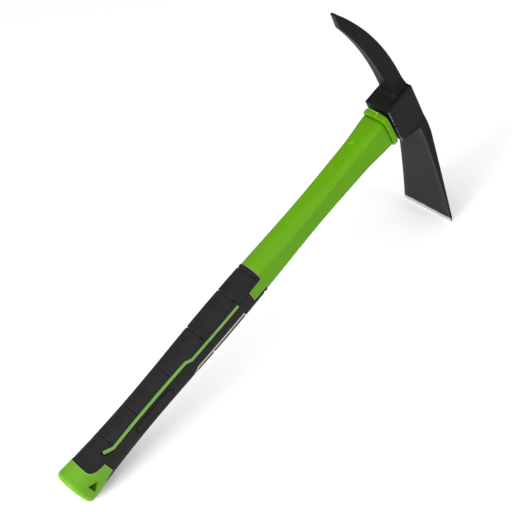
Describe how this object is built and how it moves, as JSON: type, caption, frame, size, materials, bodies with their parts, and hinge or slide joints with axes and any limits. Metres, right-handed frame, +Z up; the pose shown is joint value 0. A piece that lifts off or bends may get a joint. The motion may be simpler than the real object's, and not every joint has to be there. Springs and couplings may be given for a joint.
{
  "type": "hand mattock",
  "caption": "Short hand mattock: black forged head with a curved pick and a flared hoe on a green moulded handle with a black rubber grip and a triangular hanging hole",
  "frame": {"origin": "on the bench under the tool, at the middle of its overall box in X and Y", "axes": "the tool is set down on the rim of its butt and on the hoe's cutting edge with the pick in the air; +X runs along the bench from butt to head, +Y across the tool from one cheek to the other, +Z up"},
  "size_m": [0.405, 0.0554, 0.2503],
  "materials": {
    "lacquered_steel": "black lacquer on forged steel, ground bare at the cutting edge",
    "green_plastic": "satin moulded polypropylene",
    "glass_fibre": "pultruded rod, dull",
    "grip_rubber": "fine matt texture",
    "epoxy": "cast resin"
  },
  "bodies": {
    "root": {"head": "lacquered_steel", "handle_jacket": "green_plastic", "core_rod": "glass_fibre", "grip": "grip_rubber", "eye_resin": "epoxy"}
  },
  "joints": []
}
